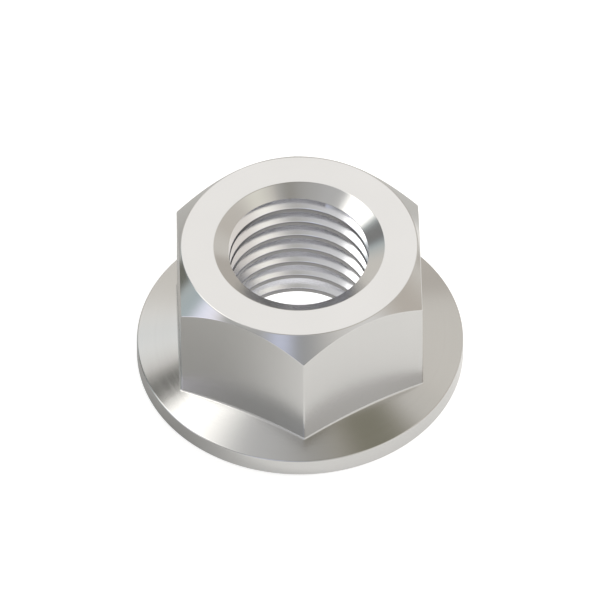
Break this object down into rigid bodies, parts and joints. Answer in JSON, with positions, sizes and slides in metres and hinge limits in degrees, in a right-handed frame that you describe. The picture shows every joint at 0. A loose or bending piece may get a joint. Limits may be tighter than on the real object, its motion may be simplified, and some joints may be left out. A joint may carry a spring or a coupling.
{
  "type": "hex flange nut",
  "caption": "Hexagonal nut with a round flange in one piece: a countersunk threaded hole, a chamfered crown and a plain bearing face.",
  "frame": {"origin": "centre of the bearing face, the flat underside of the flange", "axes": "+Z runs along the thread from the bearing face to the crown; an upright corner of the hexagon points along -Y and its opposite along +Y, so two flats face +X and -X"},
  "size_m": [0.0324, 0.0324, 0.016],
  "materials": {
    "bare_metal": "satin"
  },
  "bodies": {
    "root": {"flange_nut": "bare_metal"}
  },
  "joints": []
}
